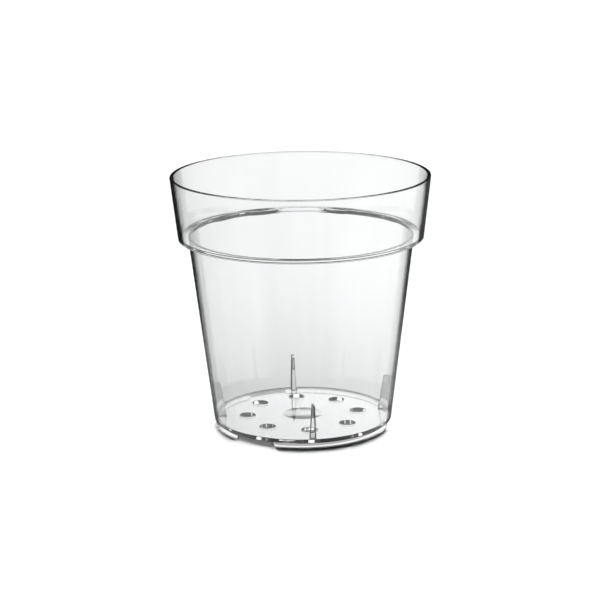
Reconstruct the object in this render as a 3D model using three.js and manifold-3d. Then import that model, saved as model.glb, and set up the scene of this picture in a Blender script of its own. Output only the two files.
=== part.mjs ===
import * as THREE from 'three';
import { mergeVertices } from 'three/addons/utils/BufferGeometryUtils.js';
import Module from 'manifold-3d';

// Clear orchid pot: a tapered pot on a gapped foot, with a shoulder, a tall collar, drain holes in the floor
// and upright ribs inside that keep stacked pots apart. Millimetres, +Z up, front towards -Y.
// The origin is the middle of the foot, on the ground.

// Overall sizes
const potHeight = 128.4;
const rimDiameter = 130;

// Collar and shoulder
const collarHeight = 31.4; // from the shoulder's underside to the rim
const collarWall = 1.8;
const shoulderOverhang = 5; // from the wall's outer face to the collar's, at the shoulder's underside
const shoulderThickness = 1.9;

// Tapered wall
const wallTopDiameter = 112.9; // outside, under the shoulder
const baseDiameter = 90.3; // outside, at the floor's underside
const wallThicknessTop = 1.7; // at the shoulder
const wallThicknessFoot = 1; // at the floor

// Floor, drain holes and the shallow round recess under its middle
const floorThickness = 2;
const holeCount = 8;
const holeDiameter = 8;
const holeInset = 16.8; // from the floor's edge to a hole's centre
const recessDiameter = 20;
const recessDepth = 0.35;

// Foot ring and its gaps
const footHeight = 2.6;
const footSetback = 0.65; // from the floor's edge in to the foot's outer face
const footWall = 1.6;
const footGapWidth = 21.4;
const footGapTurn = -40.2; // degrees from the front to the first gap, positive towards +X

// Ribs inside the wall
const ribHeight = 18;
const ribDepthTop = 4.7;
const ribDepthFoot = 5.3;
const ribThicknessTop = 1.2;
const ribThicknessFoot = 2.8;
const ribClearance = 0.3; // between a rib's back and the wall

// Facets
const roundSides = 72;
const holeSides = 24;
const footSteps = 20;
const recessSteps = 5;
const weldDistance = 1e-4; // corners closer than this are one corner

// Heights of the levels, from the ground up
const floorTop = footHeight + floorThickness;
const shoulderLevel = potHeight - collarHeight;
const shoulderTop = shoulderLevel + shoulderThickness;

const shoulderDiameter = wallTopDiameter + 2 * shoulderOverhang;
const footDiameter = baseDiameter - 2 * footSetback;

const wasm = await Module();
wasm.setup();

// Outer radius of the tapered wall at a height
function wallRadius(z) {
  const along = (z - footHeight) / (shoulderLevel - footHeight);
  return THREE.MathUtils.lerp(baseDiameter, wallTopDiameter, along) / 2;
}

// Inner radius of the tapered wall at a height
function wallInside(z) {
  const along = (z - floorTop) / (shoulderTop - floorTop);
  return wallRadius(z) - THREE.MathUtils.lerp(wallThicknessFoot, wallThicknessTop, along);
}

// Outer radius of the collar at a height
function collarRadius(z) {
  const along = (z - shoulderLevel) / collarHeight;
  return THREE.MathUtils.lerp(shoulderDiameter, rimDiameter, along) / 2;
}

// Turns a profile of [radius, height] points round the Z axis
function turned(profile) {
  const points = profile.map(([radius, z]) => new THREE.Vector2(radius, z));
  return new THREE.LatheGeometry(points, roundSides).rotateX(Math.PI / 2);
}

// Turns a closed profile, such as a ring's section
function turnedLoop(profile) {
  return turned([...profile, profile[0]]);
}

// A point's direction in plan, from the front towards +X
function bearing(degrees) {
  const angle = THREE.MathUtils.degToRad(degrees);
  return new THREE.Vector2(Math.sin(angle), -Math.cos(angle));
}

function toSolid(geometry) {
  const bare = geometry.clone();
  bare.deleteAttribute('normal');
  bare.deleteAttribute('uv');
  const merged = mergeVertices(bare, weldDistance);
  const corners = merged.index.array;
  const triangles = [];
  for (let i = 0; i < corners.length; i += 3) {
    const [a, b, c] = corners.slice(i, i + 3);
    if (a !== b && b !== c && c !== a) triangles.push(a, b, c);
  }
  return new wasm.Manifold(new wasm.Mesh({
    numProp: 3,
    vertProperties: new Float32Array(merged.attributes.position.array),
    triVerts: new Uint32Array(triangles),
  }));
}

function toGeometry(solid) {
  const mesh = solid.getMesh();
  const geometry = new THREE.BufferGeometry();
  geometry.setAttribute('position', new THREE.BufferAttribute(mesh.vertProperties, 3));
  geometry.setIndex(new THREE.BufferAttribute(mesh.triVerts, 1));
  geometry.computeVertexNormals();
  return geometry;
}

function collar() {
  return turnedLoop([
    [collarRadius(shoulderTop), shoulderTop],
    [collarRadius(potHeight), potHeight],
    [collarRadius(potHeight) - collarWall, potHeight],
    [collarRadius(shoulderTop) - collarWall, shoulderTop],
  ]);
}

// The underside has an edge where the wall's outer face meets it, so the free step is a face of its own
function shoulderLedge() {
  return turnedLoop([
    [wallRadius(shoulderLevel), shoulderLevel],
    [collarRadius(shoulderLevel), shoulderLevel],
    [collarRadius(shoulderTop), shoulderTop],
    [wallInside(shoulderTop), shoulderTop],
    [wallInside(shoulderLevel), shoulderLevel],
  ]);
}

function taperedWall() {
  return turnedLoop([
    [wallRadius(floorTop), floorTop],
    [wallRadius(shoulderLevel), shoulderLevel],
    [wallInside(shoulderLevel), shoulderLevel],
    [wallInside(floorTop), floorTop],
  ]);
}

function baseFloor() {
  const recess = [];
  for (let i = 0; i <= recessSteps; i += 1) {
    const share = i / recessSteps;
    recess.push([share * recessDiameter / 2, footHeight + recessDepth * (1 - share * share)]);
  }
  const edge = [[wallRadius(footHeight), footHeight], [wallRadius(floorTop), floorTop]];
  let floor = toSolid(turned([...recess, ...edge, [0, floorTop]]));

  const holeReach = baseDiameter / 2 - holeInset;
  const drillLength = 2 * floorThickness;
  for (let i = 0; i < holeCount; i += 1) {
    const place = bearing(i * 360 / holeCount).multiplyScalar(holeReach);
    const drill = new THREE.CylinderGeometry(holeDiameter / 2, holeDiameter / 2, drillLength, holeSides);
    drill.rotateX(Math.PI / 2).translate(place.x, place.y, footHeight + floorThickness / 2);
    floor = floor.subtract(toSolid(drill));
  }
  return toGeometry(floor);
}

// One stretch of the foot ring, from the end of one gap to the start of the next
function footArc(firstDegrees, lastDegrees) {
  const start = bearing(firstDegrees).angle();
  const sweep = THREE.MathUtils.degToRad(lastDegrees - firstDegrees);
  const outline = new THREE.Shape();
  outline.absarc(0, 0, footDiameter / 2, start, start + sweep, false);
  outline.absarc(0, 0, footDiameter / 2 - footWall, start + sweep, start, true);
  return new THREE.ExtrudeGeometry(outline, {
    depth: footHeight,
    curveSegments: footSteps,
    bevelEnabled: false,
  });
}

// A rib that stands on the floor with its back along the wall, thinner and less deep at the top.
// It is made at +X and turned into place.
function rib() {
  const geometry = new THREE.BoxGeometry(1, 1, 1);
  const corners = geometry.attributes.position;
  for (let i = 0; i < corners.count; i += 1) {
    const atTop = corners.getZ(i) > 0;
    const z = atTop ? floorTop + ribHeight : floorTop;
    const depth = atTop ? ribDepthTop : ribDepthFoot;
    const thickness = atTop ? ribThicknessTop : ribThicknessFoot;
    const back = wallInside(z) - ribClearance;
    const x = corners.getX(i) > 0 ? back : back - depth;
    corners.setXYZ(i, x, corners.getY(i) * thickness, z);
  }
  geometry.computeVertexNormals();
  return geometry;
}

function clearPlastic() {
  return new THREE.MeshStandardMaterial({
    color: 0xf1f4f5,
    roughness: 0.05,
    metalness: 0,
    transparent: true,
    opacity: 0.3,
  });
}

const pot = new THREE.Group();

function addPiece(name, geometry, turnDegrees = 0) {
  const piece = new THREE.Mesh(geometry, clearPlastic());
  piece.name = name;
  piece.rotation.z = THREE.MathUtils.degToRad(turnDegrees);
  pot.add(piece);
}

addPiece('collar', collar());
addPiece('shoulder_ledge', shoulderLedge());
addPiece('tapered_wall', taperedWall());
addPiece('base_floor', baseFloor());

const ribNames = ['rib_right', 'rib_back', 'rib_left', 'rib_front'];
ribNames.forEach((name, i) => addPiece(name, rib(), i * 360 / ribNames.length));

const footNames = ['foot_front', 'foot_back', 'foot_left'];
const footStep = 360 / footNames.length;
const halfGap = THREE.MathUtils.radToDeg(Math.asin(footGapWidth / footDiameter));
footNames.forEach((name, i) => {
  const gap = footGapTurn + i * footStep;
  addPiece(name, footArc(gap + halfGap, gap + footStep - halfGap));
});

export default pot;
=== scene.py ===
import math

import bmesh
import bpy
from mathutils import Matrix, Vector


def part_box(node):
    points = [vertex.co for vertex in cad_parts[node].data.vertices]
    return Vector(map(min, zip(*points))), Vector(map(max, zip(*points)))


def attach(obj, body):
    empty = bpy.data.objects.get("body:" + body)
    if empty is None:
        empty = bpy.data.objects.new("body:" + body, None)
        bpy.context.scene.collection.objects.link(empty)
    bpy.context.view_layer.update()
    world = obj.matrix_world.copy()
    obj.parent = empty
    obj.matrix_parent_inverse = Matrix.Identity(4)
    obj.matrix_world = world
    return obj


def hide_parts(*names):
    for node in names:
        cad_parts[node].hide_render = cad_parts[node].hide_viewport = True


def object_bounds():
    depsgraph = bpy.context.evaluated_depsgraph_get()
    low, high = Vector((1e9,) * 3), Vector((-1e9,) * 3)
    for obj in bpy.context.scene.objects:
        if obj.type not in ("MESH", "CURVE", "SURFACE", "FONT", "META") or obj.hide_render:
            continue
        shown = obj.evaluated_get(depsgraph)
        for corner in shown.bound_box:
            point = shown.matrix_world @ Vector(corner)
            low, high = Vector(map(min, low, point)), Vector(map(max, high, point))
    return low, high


# Clear orchid pot, one moulding, on a pale studio floor. Metres, the CAD part's frame.
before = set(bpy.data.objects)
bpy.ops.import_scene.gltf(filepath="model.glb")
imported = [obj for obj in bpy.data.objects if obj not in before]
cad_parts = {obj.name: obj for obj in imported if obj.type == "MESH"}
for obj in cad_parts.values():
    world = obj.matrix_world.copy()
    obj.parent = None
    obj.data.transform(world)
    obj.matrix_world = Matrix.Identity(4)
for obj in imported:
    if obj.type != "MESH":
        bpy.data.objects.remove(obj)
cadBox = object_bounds()
mm = 0.001


# Node helpers

class Value:
    # wraps a socket, so shader maths reads as plain expressions
    def __init__(self, graph, socket):
        self.graph = graph
        self.socket = socket

    def math(self, operation, first, second):
        node = self.graph.add("ShaderNodeMath", {"operation": operation}, {0: first, 1: second})
        return node.out(0)

    def __add__(self, other):
        return self.math("ADD", self, other)

    def __radd__(self, other):
        return self.math("ADD", other, self)

    def __sub__(self, other):
        return self.math("SUBTRACT", self, other)

    def __rsub__(self, other):
        return self.math("SUBTRACT", other, self)

    def __mul__(self, other):
        return self.math("MULTIPLY", self, other)

    def __rmul__(self, other):
        return self.math("MULTIPLY", other, self)

    def __truediv__(self, other):
        return self.math("DIVIDE", self, other)

    def __gt__(self, other):
        return self.math("GREATER_THAN", self, other)

    def __abs__(self):
        return self.math("ABSOLUTE", self, 0.0)


class NodeMade:
    def __init__(self, graph, node):
        self.graph = graph
        self.node = node

    def out(self, key=0):
        return Value(self.graph, self.node.outputs[key])


class Graph:
    def __init__(self, tree):
        self.tree = tree
        tree.nodes.clear()

    def add(self, kind, settings=None, sockets=None):
        node = self.tree.nodes.new(kind)
        for key, value in (settings or {}).items():
            setattr(node, key, value)
        for key, value in (sockets or {}).items():
            self.feed(node.inputs[key], value)
        return NodeMade(self, node)

    def feed(self, socket, value):
        if isinstance(value, Value):
            self.tree.links.new(value.socket, socket)
        else:
            socket.default_value = value

    def ease(self, value, low, high, atLow=0.0, atHigh=1.0):
        # smooth step from one level to another
        return self.add("ShaderNodeMapRange", {"interpolation_type": "SMOOTHSTEP"}, {
            "Value": value, "From Min": low, "From Max": high, "To Min": atLow, "To Max": atHigh,
        }).out(0)

    def fade(self, value, low, high):
        return self.ease(value, low, high, 1.0, 0.0)


# Camera, matched to the photograph

camera = {
    "turn": -6.5,  # degrees round the pot from its front rib, towards -X
    "distance": 0.93405,  # from the pot's axis, level
    "height": 0.30733,
    "yaw": 0.052,  # degrees to the left
    "pitch": 14.616,  # degrees down
    "roll": 0.653,
    "lens": 114.636,
    "sensor": 36.0,
    "clip": (0.01, 100.0),
}


def makeCamera():
    data = bpy.data.cameras.new("photo_camera")
    data.lens = camera["lens"]
    data.sensor_width = camera["sensor"]
    data.clip_start, data.clip_end = camera["clip"]
    eye = bpy.data.objects.new("photo_camera", data)
    bpy.context.collection.objects.link(eye)
    spot = Matrix.Rotation(math.radians(camera["turn"]), 4, "Z")
    spot @= Matrix.Translation((0, -camera["distance"], camera["height"]))
    spot @= Matrix.Rotation(math.radians(camera["yaw"]), 4, "Z")
    spot @= Matrix.Rotation(math.radians(90 - camera["pitch"]), 4, "X")
    spot @= Matrix.Rotation(math.radians(-camera["roll"]), 4, "Z")
    eye.matrix_world = spot
    bpy.context.scene.camera = eye
    print("camera placed")


# Studio: a pale floor and a bright backdrop with dark strips beside it, which draw the plastic's edges.
# Angles are in degrees from the photograph's line of sight.

studio = {
    "floorRadius": 8.0,
    "floorSegments": 128,
    "floorRoughness": 0.9,
    "floorColour": (0.86, 0.86, 0.86, 1),
    "horizon": 1.05,  # the bare backdrop, as the camera sees it
    "leftEdge": (9.8, 12.8),  # where the backdrop turns dark
    "rightEdge": (8.0, 17.0),
    "rightEdgeLow": 2.5,  # it starts here at the pot's foot
    "ribEdge": 10.0,  # and ends here behind the ribs
    "ribLight": 0.76,  # where it is dimmer too
    "ribTop": (-16.6, -15.6),  # below this
    "ribReach": (2.0, 5.0),  # and further to the sides than this
    "ribShade": 0.2,  # and greyer to the left
    "stripEnd": (20.5, 24.5),  # where the pale room begins, seen through the pot
    "ribRoom": 0.3,  # as light as this behind the ribs
    "farEdge": (33.0, 41.0),  # and mirrored
    "lowAngle": -19.8,  # the backdrop through the pot, darker towards its foot
    "lowLight": 0.575,
    "highAngle": -13.0,
    "highLight": 1.02,
    "steep": (-22.5, -19.2),  # dark below that
    "steepEnd": (-30.0, -26.5),  # down to here
    "steepEndRibs": (-52.0, -44.0),  # and further down behind the ribs
    "steepReach": (10.0, 14.0),  # only through both walls
    "ceiling": (3.0, 8.0),  # and dark above that
    "deep": (-36.0, -25.0),  # the table right under the pot
    "deepLight": 0.5,  # this much lighter
    "shadeAngle": -9.0,  # and greyest this far to the left
    "shadeReach": 11.0,
    "shadeHigh": 0.20,
    "shadeLow": 0.45,
    "shadeFall": (-18.3, -15.5),
    "darkLight": 0.01,
    "rightDark": 0.04,  # the right strip is this much lighter
    "tableLight": 0.08,  # the table beside the backdrop
    "tableTop": (-17.8, -15.9),
    "mirrorLight": 1.5,  # the backdrop, mirrored by the pot
    "mirrorLow": (-50.0, -40.0),
    "mirrorTop": (24.0, 30.0),
    "mirrorGap": (-1.0, 2.0, 11.5, 14.0),  # dark between these heights
    "sideLight": 0.95,  # the pale room, mirrored
    "sideLean": 0.15,  # brighter to the right
    "behindEdge": (120.0, 150.0),
    "behindDip": (-12.0, -8.0, -1.0, 4.0),  # dimmer behind the camera, between these heights
    "behindLight": 0.25,
    "bandLow": (-36.0, -28.0),  # the room is lit between these heights
    "bandHigh": (18.0, 26.0),
    "fillLight": 0.02,  # on the floor
    "backLight": 28.0,
    "backTurn": -2.0,
    "backRise": 32.0,
    "backSpread": 25.0,
    # depths count in whole steps, so these limits lie between them
    "bothWalls": 2.5,  # surfaces passed, more than this
    "farWall": 3.5,
    "ribOrLedge": 5.5,
    "once": 0.5,  # turns, more than this
    "twice": 1.5,
    "bounces": 40,
}


def makeFloor():
    bm = bmesh.new()
    segments, radius = studio["floorSegments"], studio["floorRadius"]
    bmesh.ops.create_circle(bm, cap_ends=True, segments=segments, radius=radius)
    floor = toObject(bm, "studio_floor")
    floor.location.z = cadBox[0].z
    # the clear pot shows the backdrop through its walls, and the floor only where it is seen bare
    floor.visible_transmission = False
    floor.visible_glossy = False
    material = bpy.data.materials.new("floor_paint")
    material.use_nodes = True
    graph = Graph(material.node_tree)
    paint = graph.add("ShaderNodeBsdfPrincipled", None, {
        "Base Color": studio["floorColour"],
        "Roughness": studio["floorRoughness"],
        "Specular IOR Level": 0.0,
    })
    graph.add("ShaderNodeOutputMaterial", None, {"Surface": paint.out()})
    floor.data.materials.append(material)
    print("floor laid")


def makeWorld():
    world = bpy.data.worlds.new("studio")
    world.use_nodes = True
    world.cycles.sampling_method = "NONE"
    bpy.context.scene.world = world
    graph = Graph(world.node_tree)
    way = graph.add("ShaderNodeTexCoord").out("Generated")
    turned = graph.add("ShaderNodeVectorRotate", {"rotation_type": "Z_AXIS"}, {
        "Vector": way, "Angle": math.radians(-camera["turn"]),
    }).out(0)
    parts = graph.add("ShaderNodeSeparateXYZ", None, {0: turned})
    across, along, rise = parts.out("X"), parts.out("Y"), parts.out("Z")
    degree = math.pi / 180
    azimuth = graph.add("ShaderNodeMath", {"operation": "ARCTAN2"}, {0: across, 1: along}).out(0) / degree
    elevation = graph.add("ShaderNodeMath", {"operation": "ARCSINE"}, {0: rise}).out(0) / degree
    path = graph.add("ShaderNodeLightPath")

    # surfaces that the light has passed, and how often it was mirrored
    layers = path.out("Transmission Depth")
    turns = path.out("Glossy Depth")
    manyLayers = layers > studio["ribOrLedge"]
    fewLayers = 1 - manyLayers

    # the lit and dark parts of the room
    foot = graph.fade(elevation, *studio["shadeFall"])
    rightStart = foot * (studio["rightEdgeLow"] - studio["rightEdge"][0]) + studio["rightEdge"][0]
    rightEnd = manyLayers * (studio["ribEdge"] - studio["rightEdge"][1]) + studio["rightEdge"][1]
    backdrop = graph.fade(azimuth, rightStart, rightEnd)
    backdrop = backdrop * graph.fade(-1 * azimuth, *studio["leftEdge"])
    room = graph.ease(abs(azimuth), *studio["farEdge"])
    band = graph.ease(elevation, *studio["bandLow"])
    band = band * graph.fade(elevation, *studio["bandHigh"])

    # seen straight through the pot
    low, high = studio["lowAngle"], studio["highAngle"]
    height = graph.ease(elevation, low, high, studio["lowLight"], studio["highLight"])
    behindRibs = manyLayers * graph.fade(elevation, *studio["ribTop"])
    behindRibs = behindRibs * graph.ease(abs(azimuth), *studio["ribReach"])
    shadeDepth = foot * (studio["shadeLow"] - studio["shadeHigh"]) + studio["shadeHigh"]
    shadeDepth = shadeDepth + behindRibs * studio["ribShade"]
    fromShade = abs(azimuth - studio["shadeAngle"])
    shade = 1 - shadeDepth * graph.fade(fromShade, 0, studio["shadeReach"])
    steep = fewLayers * graph.ease(elevation, *studio["steepEnd"])
    steep = steep + manyLayers * graph.ease(elevation, *studio["steepEndRibs"])
    steep = steep * graph.fade(elevation, *studio["steep"]) * (layers > studio["bothWalls"])
    above = 1 - steep * graph.fade(abs(azimuth), *studio["steepReach"])
    deep = graph.fade(elevation, *studio["deep"])
    height = (height + deep * studio["deepLight"]) * (1 - behindRibs * (1 - studio["ribLight"]))
    shade = shade + deep * (1 - shade)
    table = graph.ease(elevation, *studio["tableTop"], studio["tableLight"], 0.0) * above
    black = graph.ease(azimuth, 0.0, studio["rightEdge"][1]) * studio["rightDark"] + studio["darkLight"]
    seen = backdrop + fewLayers * graph.ease(abs(azimuth), *studio["stripEnd"])
    seen = seen + manyLayers * room * studio["ribRoom"]
    seen = seen + deep * (1 - seen)
    seen = seen * graph.fade(elevation, *studio["ceiling"])
    through = height * shade * above * seen + (1 - seen) * table + black

    # mirrored by the pot
    roomLight = across * studio["sideLean"] + studio["sideLight"]
    lowDip, lowFull, highFull, highDip = studio["behindDip"]
    dip = graph.ease(elevation, lowDip, lowFull) * graph.fade(elevation, highFull, highDip)
    dip = dip * graph.ease(abs(azimuth), *studio["behindEdge"])
    roomLight = roomLight * (1 - dip * (1 - studio["behindLight"]))

    # rays that turn more than once inside the plastic don't see the pale room, so its corners stay dark
    seesRoom = 1 - (turns > studio["twice"])
    # and the near wall's own gloss doesn't see the backdrop, so the outline stays dark
    seesBackdrop = layers > studio["farWall"]
    gapLow, gapFull, gapEnd, gapHigh = studio["mirrorGap"]
    gap = graph.ease(elevation, gapLow, gapFull) * graph.fade(elevation, gapEnd, gapHigh)
    lit = graph.ease(elevation, *studio["mirrorLow"])
    lit = lit * graph.fade(elevation, *studio["mirrorTop"])
    mirrored = backdrop * shade * studio["mirrorLight"] * seesBackdrop * lit * (1 - gap)
    mirrored = mirrored + room * band * roomLight * seesRoom + (1 - backdrop - room) * table + black
    isMirrored = turns > studio["once"]
    light = through + isMirrored * (mirrored - through)

    # on the floor
    turn, tilt = math.radians(studio["backTurn"]), math.radians(studio["backRise"])
    level = along * math.cos(turn) + across * math.sin(turn)
    lamp = level * math.cos(tilt) + rise * math.sin(tilt)
    inLamp = graph.ease(lamp, math.cos(math.radians(studio["backSpread"])), 1.0)
    onFloor = inLamp * studio["backLight"] + studio["fillLight"]
    isFloor = path.out("Diffuse Depth") > studio["once"]
    light = light + isFloor * (onFloor - light)

    isCamera = path.out("Is Camera Ray")
    light = light + isCamera * (studio["horizon"] - light)
    background = graph.add("ShaderNodeBackground", None, {"Color": (1, 1, 1, 1), "Strength": light})
    graph.add("ShaderNodeOutputWorld", None, {"Surface": background.out()})
    print("backdrop lit")


# The pot's moulding

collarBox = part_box("collar")
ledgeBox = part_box("shoulder_ledge")
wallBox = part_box("tapered_wall")
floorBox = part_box("base_floor")
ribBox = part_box("rib_front")

pot = {
    "segments": 288,
    "collarWall": 1.8 * mm,
    "wallTop": 1.7 * mm,
    "wallFoot": 1.0 * mm,
    "floorThickness": 2.0 * mm,
    "footWall": 1.6 * mm,
    "footRadius": 44.5 * mm,
    "footRound": 0.8 * mm,  # at the ground, outside
    "footInnerRound": 0.2 * mm,
    "footDraft": 0.15 * mm,  # how far it leans in, outside
    "footInnerDraft": 0.1 * mm,
    "footSeat": 0.1 * mm,  # fillet under the floor
    "baseRound": 0.6 * mm,
    "rimRound": 0.55 * mm,
    "edgeRound": 0.5 * mm,
    "floorCorner": 0.25 * mm,
    "recessRadius": 10 * mm,  # in the floor's underside
    "recessDepth": 0.28 * mm,
    "recessStep": 0.05 * mm,  # at its edge
    "recessSteps": 16,
    "roundSteps": 8,
    "sharpAngle": 28,  # degrees, an edge is sharp from here on
    "flatWeight": 100,
    "onAxis": 1e-9,  # nearer than this to the axis is on it
}

# The shoulder isn't quite even: the ledge falls a little outwards, the web under it and its rounded inner
# edge have thick spots, and it is sharpest in one stretch at the back. Degrees are from the middle of that
# stretch, towards -X.
ledge = {
    "middle": 173.5,  # degrees from the front towards +X
    "innerRound": 1.15 * mm,
    "frontRound": 0.15 * mm,  # round the front
    "frontReach": (70.0, 86.0),
    "sharpRound": 0.35 * mm,
    "sharpReach": (11.0, 19.0),
    "wave": 0.28 * mm,
    "waveCounts": (17, 29),
    "waveReach": (60.0, 85.0),  # even from here on round the front
    "cornerRound": 0.45 * mm,  # with the collar, inside
    "cornerFront": 0.7 * mm,
    "thickness": 1.0 * mm,
    "level": -0.15 * mm,  # of its corner, above the flat ledge's top
    "tip": 0.4 * mm,  # and this much higher at the back than at the sides
    "fall": 12.0,  # degrees, outwards
    "frontFall": 0.5,
    "underFall": 0.85,  # of that, underneath
    "lip": 1.6 * mm,  # the collar's lower edge hangs a little below the ledge
    "lipRound": 0.2 * mm,
    "lipCorner": 0.05 * mm,
    "webLeft": 0.95 * mm,  # down the wall, outside
    "webRight": 0.85 * mm,
    "webSharp": 0.03 * mm,
    "webFront": 0.05 * mm,
    "webLean": 1.2,  # out along the ledge, for 1 down the wall
    "webRound": 0.25,  # its edges' fillets, of the web
    "underRound": 0.9 * mm,  # outside, under the collar
    "sharpUnder": 0.3 * mm,
    "frontUnder": 0.15 * mm,
    # where, reach and web
    "thickSpots": [(46, 12, 1.6 * mm), (21, 13, 1.8 * mm), (-21, 13, 1.7 * mm)],
    "spotRound": 1.3,  # the inner edge's fillet there, of the web
}


def smoothStep(value, low, high):
    share = min(max((value - low) / (high - low), 0), 1)
    return share * share * (3 - 2 * share)


def ledgeShape(degrees):
    # at a bearing: fillets of the ledge's inner edge, its corner and the collar's lower edge, its web, how
    # high its corner is above the flat ledge's, and its fall outwards
    away = (degrees - ledge["middle"] + 180) % 360 - 180
    sharp = smoothStep(abs(away), *ledge["sharpReach"])
    wave = sum(math.sin(math.radians(away * count)) for count in ledge["waveCounts"])
    wave /= len(ledge["waveCounts"])
    wave *= 1 - smoothStep(abs(away), *ledge["waveReach"])
    front = smoothStep(abs(away), *ledge["frontReach"])
    even = ledge["innerRound"] + front * (ledge["frontRound"] - ledge["innerRound"])
    inner = ledge["sharpRound"] + sharp * (even - ledge["sharpRound"] + wave * ledge["wave"])
    under = ledge["sharpUnder"] + sharp * (ledge["underRound"] - ledge["sharpUnder"])
    under += front * (ledge["frontUnder"] - under)
    web = ledge["webLeft"] if away > 0 else ledge["webRight"]
    web += front * (ledge["webFront"] - web) + wave * ledge["wave"]
    web = ledge["webSharp"] + sharp * (web - ledge["webSharp"])
    for spot, reach, thick in ledge["thickSpots"]:
        near = max(1 - ((away - spot) / reach) ** 2, 0) ** 2
        web += near * (thick - web)
        inner += near * (thick * ledge["spotRound"] - inner)
    corner = ledge["cornerRound"] + front * (ledge["cornerFront"] - ledge["cornerRound"])
    rise = ledge["level"] + ledge["tip"] * math.cos(math.radians(away))
    fall = math.tan(math.radians(ledge["fall"] + front * (ledge["frontFall"] - ledge["fall"])))
    return {"edge": inner, "corner": corner, "under": under, "web": web, "rise": rise, "fall": fall}


def rounded(corners, steps):
    # corners are (radius, height, fillet); a fillet of 0 stays sharp
    outline = []
    for i, (x, z, fillet) in enumerate(corners):
        here = Vector((x, z))
        if not fillet:
            outline.append(here)
            continue
        back = (Vector(corners[i - 1][:2]) - here).normalized()
        ahead = (Vector(corners[i + 1][:2]) - here).normalized()
        half = back.angle(ahead) / 2
        reach = fillet / math.tan(half)
        middle = here + (back + ahead).normalized() * (fillet / math.sin(half))
        start = here + back * reach - middle
        end = here + ahead * reach - middle
        sweep = start.angle_signed(end)
        for step in range(steps + 1):
            turn = Matrix.Rotation(-sweep * step / steps, 2)
            outline.append(middle + turn @ start)
    return outline


def potOutline(degrees):
    height = collarBox[1].z
    rim = collarBox[1].x
    shoulderTop = collarBox[0].z
    shoulder = ledgeBox[0].z
    wallTop = wallBox[1].x
    floorTop = wallBox[0].z
    floorUnder = floorTop - pot["floorThickness"]
    ledgeTopRadius = ledgeBox[1].x
    collarSlope = (rim - ledgeTopRadius) / (height - shoulderTop)
    ledgeRadius = ledgeTopRadius - collarSlope * (shoulderTop - shoulder)
    base = floorBox[1].x
    wallSlope = (wallTop - base) / (shoulder - floorTop)
    baseUnder = base - wallSlope * pot["floorThickness"]
    collarWall = pot["collarWall"]
    foot = pot["footRadius"]
    footInner = foot - pot["footWall"]
    edge = pot["edgeRound"]
    shape = ledgeShape(degrees)
    web, rise, fall = shape["web"], shape["rise"], shape["fall"]
    corner = shoulderTop + rise
    cornerRadius = ledgeTopRadius - collarWall + collarSlope * rise
    ledgeTop = corner + fall * (cornerRadius - wallTop + pot["wallTop"])
    lip = ledgeRadius - ledge["lip"]
    underLip = corner - ledge["thickness"]
    underFall = fall * ledge["underFall"]
    under = underLip + underFall * (lip - wallTop)
    webReach = ledge["webLean"] * web
    webRound = ledge["webRound"] * web
    corners = [
        (footInner, floorUnder, edge),
        (footInner + pot["footInnerDraft"], 0, pot["footInnerRound"]),
        (foot - pot["footDraft"], 0, pot["footRound"]),
        (foot, floorUnder, pot["footSeat"]),
        (baseUnder, floorUnder, pot["baseRound"]),
        (wallTop + wallSlope * (under - web - shoulder), under - web, webRound),
        (wallTop + webReach, under - underFall * webReach, webRound),
        (lip, underLip, ledge["lipCorner"]),
        (lip, shoulder, ledge["lipRound"]),
        (ledgeRadius, shoulder, shape["under"]),
        (rim, height, pot["rimRound"]),
        (rim - collarWall, height, pot["rimRound"]),
        (cornerRadius, corner, shape["corner"]),
        (wallTop + wallSlope * (ledgeTop - shoulder) - pot["wallTop"], ledgeTop, shape["edge"]),
        (base - pot["wallFoot"], floorTop, pot["floorCorner"]),
    ]
    recess = []
    for step in range(pot["recessSteps"] + 1):
        share = step / pot["recessSteps"]
        depth = pot["recessStep"] + pot["recessDepth"] * (1 - share * share)
        recess.append(Vector((share * pot["recessRadius"], floorUnder + depth)))
    recess.append(Vector((pot["recessRadius"] + pot["recessStep"], floorUnder)))
    middle = rounded([(0, floorUnder, 0)] + corners + [(0, floorTop, 0)], pot["roundSteps"])[1:-1]
    over = [Vector((pot["recessRadius"], floorTop)), Vector((0, floorTop))]
    return recess + middle + over


def lathe(outlines):
    # one outline for each step round the axis, all with as many points
    segments = len(outlines)
    bm = bmesh.new()
    rings = []
    for points in zip(*outlines):
        if points[0].x < pot["onAxis"]:
            rings.append([bm.verts.new((0, 0, points[0].y))])
            continue
        ring = []
        for i, point in enumerate(points):
            angle = 2 * math.pi * i / segments
            ring.append(bm.verts.new((point.x * math.cos(angle), point.x * math.sin(angle), point.y)))
        rings.append(ring)
    for lower, upper in zip(rings, rings[1:]):
        for i in range(segments):
            j = (i + 1) % segments
            corners = [(lower, i), (lower, j), (upper, j), (upper, i)]
            loop = [ring[k % len(ring)] for ring, k in corners]
            bm.faces.new(list(dict.fromkeys(loop)))
    return bm


ribs = {
    "count": 4,
    "depthTop": 4.7 * mm,
    "depthFoot": 5.3 * mm,
    "halfTop": 0.6 * mm,
    "halfFoot": 1.4 * mm,
    "edgeRound": 0.5 * mm,
    "ridgeLevel": 11.0 * mm,  # above the floor, the inner edge is a ridge from here up
    "ridgeSlope": 24.0,
    "topRound": 1.0 * mm,
    "crownRound": 0.4 * mm,
    "footFlare": 0.35 * mm,
    "root": 0.7 * mm,  # how far it runs into the wall and floor
    "lip": 0.01 * mm,  # and its flared foot into the floor
    "ridgeStart": 0.05 * mm,  # the ridge begins over this height
    "ridgeTip": 4.2,  # side steps to its point, so it stays a little blunt
    "edgeShare": 0.9,  # most of the edges' fillet, of half the rib
    "flareSteps": 4,
    "bodySteps": 6,
    "ridgeSteps": 4,
    "topSteps": 10,
    "sideSteps": 4,
}


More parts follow.
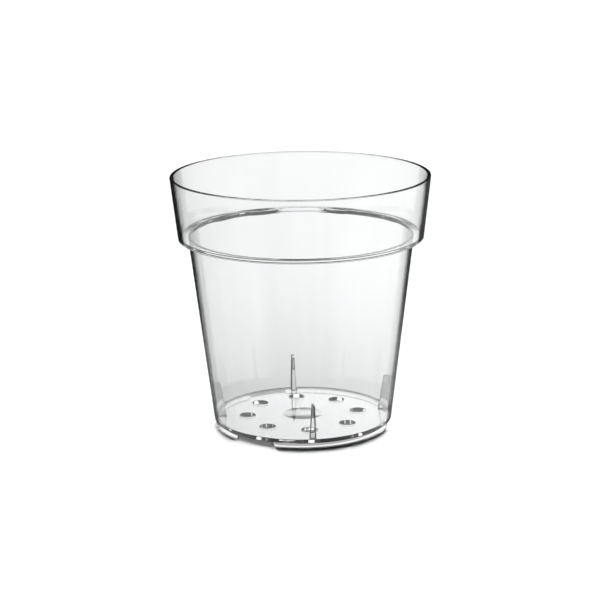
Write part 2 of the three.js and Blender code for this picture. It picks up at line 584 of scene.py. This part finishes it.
def ribMesh(angle):
    floorTop = wallBox[0].z
    top = ribBox[1].z
    base = floorBox[1].x
    slope = (wallBox[1].x - base) / (wallBox[1].z - floorTop)
    flare = ribs["footFlare"]
    topRound = ribs["topRound"]
    levels = [floorTop - ribs["root"]]
    seat = floorTop - ribs["lip"]
    steps = ribs["flareSteps"]
    levels += [seat + flare * (1 - math.cos(math.pi / 2 * s / steps)) for s in range(steps + 1)]
    ridge = floorTop + ribs["ridgeLevel"]
    steps = ribs["bodySteps"]
    levels += [floorTop + (ridge - floorTop) * s / steps for s in range(1, steps)]
    levels += [ridge - ribs["ridgeStart"], ridge]
    steps = ribs["ridgeSteps"]
    levels += [ridge + (top - topRound - ridge) * s / steps for s in range(1, steps)]
    steps = ribs["topSteps"]
    levels += [top - topRound * (1 - math.sin(math.pi / 2 * s / steps)) for s in range(steps + 1)]
    sideSteps = ribs["sideSteps"]
    bm = bmesh.new()
    rings = []
    for z in levels:
        share = min(max((z - floorTop) / (top - floorTop), 0), 1)
        half = ribs["halfFoot"] + (ribs["halfTop"] - ribs["halfFoot"]) * share
        depth = ribs["depthFoot"] + (ribs["depthTop"] - ribs["depthFoot"]) * share
        wallInner = base + slope * (z - floorTop) - pot["wallFoot"]
        inner = wallInner - depth
        low = max(flare - max(z - seat, 0), 0)
        spread = flare - math.sqrt(max(flare * flare - low * low, 0))
        half += spread
        inner -= spread
        high = max(z - (top - topRound), 0)
        inner += topRound - math.sqrt(max(topRound * topRound - high * high, 0))
        back = wallInner + ribs["root"]
        crown = ribs["crownRound"]
        high = max(z - (top - crown), 0)
        half -= crown - math.sqrt(max(crown * crown - high * high, 0))
        edge = min(ribs["edgeRound"], half * ribs["edgeShare"])
        section = []
        for s in range(sideSteps + 1):
            a = math.pi / 2 * s / sideSteps
            across = half - edge * (1 - math.cos(a))
            into = edge * (1 - math.sin(a))
            if z >= ridge:
                across = half * (1 - s / ribs["ridgeTip"])
                into = across * math.tan(math.radians(ribs["ridgeSlope"]))
            section.append((inner + into, across))
        section = [(x, -y) for x, y in section] + section[::-1]
        section = [(back, -half)] + section + [(back, half)]
        rings.append([bm.verts.new((x, y, z)) for x, y in section])
    count = len(rings[0])
    for lower, upper in zip(rings, rings[1:]):
        for i in range(count):
            j = (i + 1) % count
            bm.faces.new((lower[i], lower[j], upper[j], upper[i]))
    bm.faces.new(list(reversed(rings[0])))
    bm.faces.new(rings[-1])
    bmesh.ops.recalc_face_normals(bm, faces=bm.faces)
    bmesh.ops.rotate(bm, verts=bm.verts, cent=(0, 0, 0), matrix=Matrix.Rotation(angle, 3, "Z"))
    return bm


drains = {
    "count": 8,
    "radius": 4.0 * mm,
    "circle": 28.35 * mm,
    "edgeRound": 0.2 * mm,
    "edgeSteps": 4,
    "segments": 64,
    "reach": 1.0 * mm,  # how far a drill stands out of the floor
    "lip": 0.01 * mm,  # and its rounded edges
}


def drainMesh(angle):
    top = wallBox[0].z
    under = top - pot["floorThickness"]
    radius, edge, lip = drains["radius"], drains["edgeRound"], drains["lip"]
    steps = drains["edgeSteps"]
    outline = [Vector((0, under - drains["reach"])), Vector((radius + edge, under - drains["reach"]))]
    for s in range(steps + 1):
        a = math.pi / 2 * s / steps
        outline.append(Vector((radius + edge * (1 - math.sin(a)), under - lip + edge * (1 - math.cos(a)))))
    for s in range(steps + 1):
        a = math.pi / 2 * (1 - s / steps)
        outline.append(Vector((radius + edge * (1 - math.sin(a)), top + lip - edge * (1 - math.cos(a)))))
    outline += [Vector((radius + edge, top + drains["reach"])), Vector((0, top + drains["reach"]))]
    bm = lathe([outline] * drains["segments"])
    place = Vector((math.cos(angle), math.sin(angle), 0)) * drains["circle"]
    bmesh.ops.translate(bm, verts=bm.verts, vec=place)
    return bm


gaps = {
    "count": 3,
    "turn": -40.2,  # degrees from the front to the first gap, towards +X
    "halfTop": 9.9 * mm,
    "halfFoot": 11.5 * mm,
    "from": 39 * mm,
    "to": 45.4 * mm,
    "roof": 0.03 * mm,  # left under the floor
    "below": 1.0 * mm,  # the cut starts this far under the ground
}


def gapMesh(angle):
    under = wallBox[0].z - pot["floorThickness"] - gaps["roof"]
    bm = bmesh.new()
    bmesh.ops.create_cube(bm, size=2)
    for vert in bm.verts:
        top = vert.co.z > 0
        half = gaps["halfTop"] if top else gaps["halfFoot"]
        out = gaps["to"] if vert.co.x > 0 else gaps["from"]
        vert.co = Vector((out, math.copysign(half, vert.co.y), under if top else -gaps["below"]))
    bmesh.ops.rotate(bm, verts=bm.verts, cent=(0, 0, 0), matrix=Matrix.Rotation(angle, 3, "Z"))
    return bm


def toObject(bm, name):
    mesh = bpy.data.meshes.new(name)
    bm.to_mesh(mesh)
    bm.free()
    made = bpy.data.objects.new(name, mesh)
    bpy.context.collection.objects.link(made)
    return made


def joined(parts, name):
    whole = bmesh.new()
    for part in parts:
        mesh = bpy.data.meshes.new("part")
        part.to_mesh(mesh)
        part.free()
        whole.from_mesh(mesh)
        bpy.data.meshes.remove(mesh)
    return toObject(whole, name)


def combine(target, tool, operation):
    step = target.modifiers.new("combine", "BOOLEAN")
    step.operation = operation
    step.solver = "EXACT"
    step.object = tool
    bpy.context.view_layer.update()
    shaped = target.evaluated_get(bpy.context.evaluated_depsgraph_get())
    mesh = bpy.data.meshes.new_from_object(shaped)
    target.modifiers.clear()
    old = target.data
    target.data = mesh
    bpy.data.meshes.remove(old)
    bpy.data.objects.remove(tool)


def bearing(degrees):
    # angle from +X of a direction given in degrees from the front towards +X
    return math.radians(degrees - 90)


def makePot():
    step = 360 / pot["segments"]
    outlines = [potOutline(i * step + 90) for i in range(pot["segments"])]  # from +X on
    moulding = toObject(lathe(outlines), "pot_moulding")
    print("pot turned,", len(moulding.data.polygons), "faces")
    ribStep = 360 / ribs["count"]
    uprights = [ribMesh(bearing(i * ribStep)) for i in range(ribs["count"])]
    combine(moulding, joined(uprights, "ribs"), "UNION")
    drainStep = 360 / drains["count"]
    drills = [drainMesh(bearing(i * drainStep)) for i in range(drains["count"])]
    combine(moulding, joined(drills, "drains"), "DIFFERENCE")
    gapStep = 360 / gaps["count"]
    cutters = [gapMesh(bearing(gaps["turn"] + i * gapStep)) for i in range(gaps["count"])]
    combine(moulding, joined(cutters, "gaps"), "DIFFERENCE")
    mesh = moulding.data
    mesh.name = "pot_moulding"
    mesh.polygons.foreach_set("use_smooth", [True] * len(mesh.polygons))
    mesh.set_sharp_from_angle(angle=math.radians(pot["sharpAngle"]))
    # the long faces keep their own normals, and only the rounded edges bend them
    flat = moulding.modifiers.new("flat faces", "WEIGHTED_NORMAL")
    flat.mode = "FACE_AREA"
    flat.weight = pot["flatWeight"]
    flat.keep_sharp = True
    bm = bmesh.new()
    bm.from_mesh(mesh)
    loose = sum(1 for e in bm.edges if len(e.link_faces) != 2)
    print("pot moulded,", len(bm.faces), "faces,", loose, "open edges")
    bm.free()
    mesh.materials.clear()
    mesh.materials.append(clearPlastic())
    # the floor's light passes the clear pot
    moulding.visible_diffuse = False
    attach(moulding, "root")
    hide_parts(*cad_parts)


# Flags keep the back light off the floor along the foot, where clear plastic alone lets it through. They
# stand just outside the foot and inside the pot's floor, and only the floor's light meets them.

flags = {
    "segments": 180,
    "clear": 0.06 * mm,  # off the plastic
    "top": 4.2 * mm,
    "floorRadius": 41.0 * mm,
    "floorPasses": 0.14,  # of the light, through the flag in the floor
    "footPasses": 0.0,
}


def hangFlag(bm, name, passes):
    flag = toObject(bm, name)
    flag.visible_camera = False
    flag.visible_glossy = False
    flag.visible_transmission = False
    material = bpy.data.materials.new(name)
    material.use_nodes = True
    graph = Graph(material.node_tree)
    sheet = graph.add("ShaderNodeBsdfTransparent", None, {"Color": (passes, passes, passes, 1)})
    graph.add("ShaderNodeOutputMaterial", None, {"Surface": sheet.out()})
    flag.data.materials.append(material)


def flagBand(bm, radius, low, high, keeps):
    count = flags["segments"]
    for i in range(count):
        ends = [360 * i / count, 360 * (i + 1) / count]
        if not all(keeps(end) for end in ends):
            continue
        corners = []
        for end, z in ((ends[0], low), (ends[1], low), (ends[1], high), (ends[0], high)):
            angle = bearing(end)
            corners.append(bm.verts.new((radius * math.cos(angle), radius * math.sin(angle), z)))
        bm.faces.new(corners)


def makeFlags():
    halfGap = math.degrees(math.asin(gaps["halfFoot"] / pot["footRadius"]))
    gapStep = 360 / gaps["count"]

    def onFoot(degrees):
        away = (degrees - gaps["turn"] + gapStep / 2) % gapStep - gapStep / 2
        return abs(away) > halfGap

    bm = bmesh.new()
    flagBand(bm, pot["footRadius"] + flags["clear"], 0, flags["top"], onFoot)
    hangFlag(bm, "foot_flags", flags["footPasses"])
    bm = bmesh.new()
    bmesh.ops.create_circle(bm, cap_ends=True, segments=flags["segments"], radius=flags["floorRadius"])
    bmesh.ops.translate(bm, verts=bm.verts, vec=(0, 0, flags["top"]))
    hangFlag(bm, "floor_flag", flags["floorPasses"])
    print("flags set")


# Shades lie under the pot, round its foot and under its ledge, and show only through the plastic

shades = {
    "segments": 180,
    "lift": 0.02 * mm,  # off the floor
    "groundRadius": 35.0 * mm,  # under the drain holes
    "groundLight": 0.16,
    "groundReach": 10.0 * mm,  # light from a drain hole comes further than this
    "innerRing": (35.0 * mm, 39.3 * mm),  # along the foot, inside
    "innerLight": 0.4,
    "outerRing": (45.7 * mm, 55.0 * mm),  # and outside
    "outerLight": 0.03,
    "glowLight": 0.7,  # the same ring through more of the plastic
    "ledgeRadius": 59.0 * mm,  # under the ledge, from here out
    "ledgeSpread": 4.0,  # as wide as this, for 1 of the web
    "ledgeDrop": 0.4 * mm,  # below the shoulder
    "ledgeLight": 0.04,
    # each shows to light that has passed this many surfaces
    "nearLayers": (0.5, 2.5),
    "farLayers": (2.5, 4.5),
    "glowLayers": (4.5, 8.5),
    "ledgeLayers": (3.5, 8.5),
}


def layShade(bm, name, level, light, layers, reach=0.0):
    # shows where light has come further than the reach
    shade = toObject(bm, name)
    shade.location.z = level
    shade.visible_camera = False
    shade.visible_diffuse = False
    shade.visible_glossy = False
    material = bpy.data.materials.new(name)
    material.use_nodes = True
    graph = Graph(material.node_tree)
    path = graph.add("ShaderNodeLightPath")
    passed = path.out("Transmission Depth")
    shows = (path.out("Ray Length") > reach) * (passed > layers[0]) * (1 - (passed > layers[1]))
    clear = graph.add("ShaderNodeBsdfTransparent")
    ground = graph.add("ShaderNodeEmission", None, {"Color": (light, light, light, 1)})
    mix = graph.add("ShaderNodeMixShader", None, {0: shows, 1: clear.out(), 2: ground.out()})
    graph.add("ShaderNodeOutputMaterial", None, {"Surface": mix.out()})
    shade.data.materials.append(material)


def shadeRing(inner, outer, widening=lambda degrees: 0):
    # flat ring, wider outwards by an amount for each bearing
    bm = bmesh.new()
    rings = ([], [])
    for i in range(shades["segments"]):
        degrees = 360 * i / shades["segments"]
        angle = bearing(degrees)
        for ring, radius in zip(rings, (inner, outer + widening(degrees))):
            ring.append(bm.verts.new((radius * math.cos(angle), radius * math.sin(angle), 0)))
    for i in range(shades["segments"]):
        bm.faces.new((rings[0][i - 1], rings[1][i - 1], rings[1][i], rings[0][i]))
    return bm


def makeShades():
    ground = cadBox[0].z + shades["lift"]
    overGround = cadBox[0].z + 2 * shades["lift"]
    near, far, glow = shades["nearLayers"], shades["farLayers"], shades["glowLayers"]
    bm = bmesh.new()
    bmesh.ops.create_circle(bm, cap_ends=True, segments=shades["segments"], radius=shades["groundRadius"])
    layShade(bm, "ground_shadow", ground, shades["groundLight"], near, shades["groundReach"])
    layShade(shadeRing(*shades["innerRing"]), "foot_shadow", overGround, shades["innerLight"], near)
    layShade(shadeRing(*shades["outerRing"]), "edge_shadow", ground, shades["outerLight"], far)
    layShade(shadeRing(*shades["outerRing"]), "edge_glow", overGround, shades["glowLight"], glow)

    def underWeb(degrees):
        return shades["ledgeSpread"] * ledgeShape(degrees)["web"]

    bm = shadeRing(shades["ledgeRadius"], shades["ledgeRadius"], underWeb)
    level = ledgeBox[0].z - shades["ledgeDrop"]
    layShade(bm, "ledge_shadow", level, shades["ledgeLight"], shades["ledgeLayers"])
    print("shades laid")


# Clear plastic

plastic = {
    "colour": (0.985, 0.990, 0.990, 1),
    "deepColour": (0.972, 0.982, 0.984, 1),  # where the melt cooled a little cloudier
    "ior": 1.57,
    "roughness": (0.0, 0.012),
    "flowAcross": 140.0,  # flow lines, to the metre
    "flowUp": 14.0,
    "flowDepth": 0.012 * mm,
    "flowDetail": 3.0,
    "flowGrain": 0.45,
    "flowPolish": (0.3, 0.7),  # noise from the smoothest to the roughest
    "flowCloud": (0.35, 0.65),  # and from the clearest to the cloudiest
    "scuffScale": 900.0,  # fine scuffs, to the metre
    "scuffDetail": 4.0,
    "scuffGrain": 0.6,
    "scuffs": (0.60, 0.74),
    "scuffRoughness": 0.05,
}


def clearPlastic():
    material = bpy.data.materials.new("clear_plastic")
    material.use_nodes = True
    graph = Graph(material.node_tree)
    place = graph.add("ShaderNodeTexCoord").out("Object")
    # flow lines run up the wall from the gate in the floor's middle
    stretched = graph.add("ShaderNodeMapping", None, {
        "Vector": place,
        "Scale": (plastic["flowAcross"], plastic["flowAcross"], plastic["flowUp"]),
    }).out(0)
    flow = graph.add("ShaderNodeTexNoise", None, {
        "Vector": stretched,
        "Scale": 1.0,
        "Detail": plastic["flowDetail"],
        "Roughness": plastic["flowGrain"],
    }).out(0)
    scuffs = graph.add("ShaderNodeTexNoise", None, {
        "Vector": place,
        "Scale": plastic["scuffScale"],
        "Detail": plastic["scuffDetail"],
        "Roughness": plastic["scuffGrain"],
    }).out(0)
    scuffed = graph.ease(scuffs, *plastic["scuffs"])
    polish = graph.ease(flow, *plastic["flowPolish"], *plastic["roughness"])
    cloud = graph.ease(flow, *plastic["flowCloud"])
    colour = graph.add("ShaderNodeMix", {"data_type": "RGBA"}, {
        0: cloud, 6: plastic["colour"], 7: plastic["deepColour"],
    }).out(2)
    bump = graph.add("ShaderNodeBump", None, {"Height": flow, "Distance": plastic["flowDepth"]}).out(0)
    shader = graph.add("ShaderNodeBsdfPrincipled", None, {
        "Base Color": colour,
        "Roughness": polish + scuffed * plastic["scuffRoughness"],
        "IOR": plastic["ior"],
        "Transmission Weight": 1.0,
        "Normal": bump,
    })
    graph.add("ShaderNodeOutputMaterial", None, {"Surface": shader.out()})
    return material


def lightSettings():
    scene = bpy.context.scene
    scene.view_settings.view_transform = "Standard"
    scene.cycles.max_bounces = studio["bounces"]
    scene.cycles.transmission_bounces = studio["bounces"]
    scene.cycles.glossy_bounces = studio["bounces"]
    scene.cycles.use_denoising = True
    print("light set")


makeCamera()
makeFloor()
makeWorld()
makePot()
makeFlags()
makeShades()
lightSettings()
